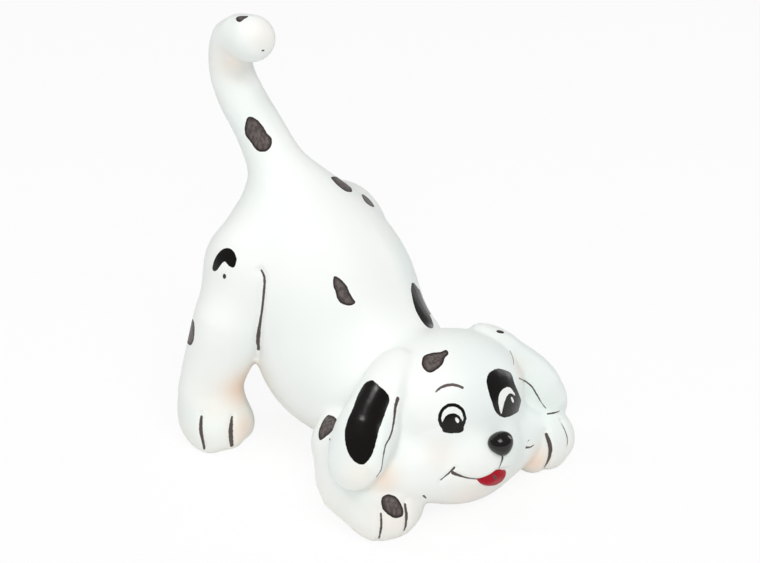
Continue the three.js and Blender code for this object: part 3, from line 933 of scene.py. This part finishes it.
def rod_cutter(middle, radius, length, facing=(0, 0, 1)):
    """A round rod for a passage or a hole, upright unless it faces another way"""
    bpy.ops.object.select_all(action="DESELECT")
    bpy.ops.mesh.primitive_cylinder_add(
        vertices=ROD_SIDES, radius=radius, depth=length, location=middle,
        rotation=Vector(facing).to_track_quat("Z", "Y").to_euler(),
    )
    bpy.ops.object.transform_apply(location=True, rotation=True, scale=True)
    return bpy.context.object


def carve(piece, cutter):
    cut(piece, cutter, "DIFFERENCE")
    bpy.data.objects.remove(cutter)


head = cut_from_skin("head_shell", seat_cutter(*NECK_SEAT))
carve(head, hollow_cutter(SCRAPED_HOLLOW))
carve(head, rod_cutter(*NECK_PASSAGE, NECK_SEAT[1]))
finish_casting(head, "head_shell")

# Tail: cast solid in bisque, stiff and upright with a hooked tip. It is luted to the rump on a
# flat seat.
TAIL_SEAT = ((0, 0.0420, 0.096), (0, 0.67, 0.74))
finish_casting(cut_from_skin("tail", seat_cutter(*TAIL_SEAT)), "tail")

# Body: the biggest casting, a drain-cast shell of bisque whose hollow comes with the skin. The
# slip was poured in and out by the hole in its underside, which is reamed round here.
POUR_HOLE = ((0.0017, -0.0050, 0.005), 7 * MM, 14 * MM)
body = rest_of_skin
body.name = "puppy_body_shell"
carve(body, rod_cutter(*NECK_PASSAGE, NECK_SEAT[1]))
carve(body, rod_cutter(*POUR_HOLE))
finish_casting(body, "body_shell")
bpy.data.objects.remove(skin)

# Nose: a button of clay luted on, squared off at the top and narrow below, painted black and
# glossed with clear varnish
NOSE_LAYER = 0.5 * MM
NOSE_GRAIN = 0.3 * MM
NOSE_ROUNDS = 12
NOSE_TAPER = 0.26
NOSE_FLATTENING = 0.93
NOSE_SHIFT = (0.3 * MM, 0, 0.4 * MM)
NOSE_DULLNESS = 0.16
DABS_PER_METRE = 700
DAB_STRENGTH = 0.5
nose = fattened("nose", "puppy_nose", NOSE_LAYER)
work(nose, "REMESH", mode="VOXEL", voxel_size=NOSE_GRAIN, use_smooth_shade=True)
work(nose, "SMOOTH", factor=EASE, iterations=NOSE_ROUNDS)
points = vectors_of(nose.data.vertices, "co")
middle = (points.min(axis=0) + points.max(axis=0)) / 2
height = (points[:, 2] - middle[2]) / np.ptp(points[:, 2]) * 2
points[:, 0] = middle[0] + (points[:, 0] - middle[0]) * (1 - NOSE_TAPER / 2 + NOSE_TAPER * height)
points[:, 2] = middle[2] + (points[:, 2] - middle[2]) * NOSE_FLATTENING
points += NOSE_SHIFT
set_places(nose, points)
glossed_black = bpy.data.materials.new("glossed_black_acrylic")
glossed_black.use_nodes = True
tree = glossed_black.node_tree
shader = tree.nodes["Principled BSDF"]
shader.inputs["Base Color"].default_value = linear(GLOSS_BLACK)
shader.inputs["Roughness"].default_value = NOSE_DULLNESS
place = add_node(tree, "ShaderNodeTexCoord", output="Object")
dabs = add_node(tree, "ShaderNodeTexNoise", {"Vector": place, "Scale": DABS_PER_METRE})
dabs = add_node(tree, "ShaderNodeBump", {
    "Height": dabs, "Distance": PAINT_RELIEF, "Strength": DAB_STRENGTH,
})
tree.links.new(dabs, shader.inputs["Normal"])
nose.data.materials.append(glossed_black)
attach(nose, "root")
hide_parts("nose")

# Floor: a wide sheet of white paper. The camera sees it mostly as plain white, so that only soft
# shadows show.
PAPER_WHITE = "#f7f7f7"
PAPER_DULLNESS = 0.9
PAPER_WIDTH = 6
PLAIN_SHARE = 0.88
bpy.ops.object.select_all(action="DESELECT")
bpy.ops.mesh.primitive_plane_add(size=PAPER_WIDTH)
floor = bpy.context.object
floor.name = "white_paper"
paper = bpy.data.materials.new("white_paper")
paper.use_nodes = True
tree = paper.node_tree
paper_shader = tree.nodes["Principled BSDF"]
paper_shader.inputs["Base Color"].default_value = linear(PAPER_WHITE)
paper_shader.inputs["Roughness"].default_value = PAPER_DULLNESS
camera_ray = add_node(tree, "ShaderNodeLightPath", output="Is Camera Ray")
share = add_node(tree, "ShaderNodeMath", {0: camera_ray, 1: PLAIN_SHARE}, operation="MULTIPLY")
plain_white = add_node(tree, "ShaderNodeEmission", {"Color": (1, 1, 1, 1), "Strength": 1})
seen_paper = add_node(tree, "ShaderNodeMixShader", {
    0: share, 1: paper_shader.outputs[0], 2: plain_white,
})
tree.links.new(seen_paper, tree.nodes["Material Output"].inputs["Surface"])
floor.data.materials.append(paper)

# Light: softboxes in front, overhead and at the left that nothing mirrors, two windows and a
# small lamp behind that gloss does mirror, and a dim room that the camera sees as plain white.
# Each lamp has its place, its watts, its width and height, and whether gloss mirrors it.
LAMPS = (
    ("front_softbox", (-0.75, -0.70, 0.85), 5.2, 0.7, 0.7, False),
    ("overhead_softbox", (-0.1, 0.15, 1.4), 4, 0.8, 0.8, False),
    ("left_softbox", (-1.1, 0.35, 0.40), 1.1, 0.7, 0.7, False),
    ("front_window", (0, -0.60, 0.95), 2.8, 0.4, 0.4, True),
    ("right_window", (0.95, -0.25, 0.28), 1.2, 0.16, 0.52, True),
    ("back_lamp", (-0.36, 0.49, 0.77), 0.9, 0.08, 0.08, True),
)
ROOM_LIGHT = 0.3
for name, place, power, width, height, mirrored in LAMPS:
    lamp_data = bpy.data.lights.new(name, "AREA")
    lamp_data.energy = power
    lamp_data.shape = "RECTANGLE"
    lamp_data.size = width
    lamp_data.size_y = height
    lamp = bpy.data.objects.new(name, lamp_data)
    lamp.location = place
    lamp.visible_glossy = mirrored
    lamp.rotation_euler = (lamp.location - VIEW_TARGET).to_track_quat("Z", "Y").to_euler()
    bpy.context.scene.collection.objects.link(lamp)
world = bpy.data.worlds.new("white_room")
bpy.context.scene.world = world
world.use_nodes = True
tree = world.node_tree
room = tree.nodes["Background"]
room.inputs["Color"].default_value = (1, 1, 1, 1)
camera_ray = add_node(tree, "ShaderNodeLightPath", output="Is Camera Ray")
room_strength = add_node(tree, "ShaderNodeMapRange", {
    "Value": camera_ray, "To Min": ROOM_LIGHT, "To Max": 1,
})
tree.links.new(room_strength, room.inputs["Strength"])
bpy.context.scene.view_settings.view_transform = "Standard"
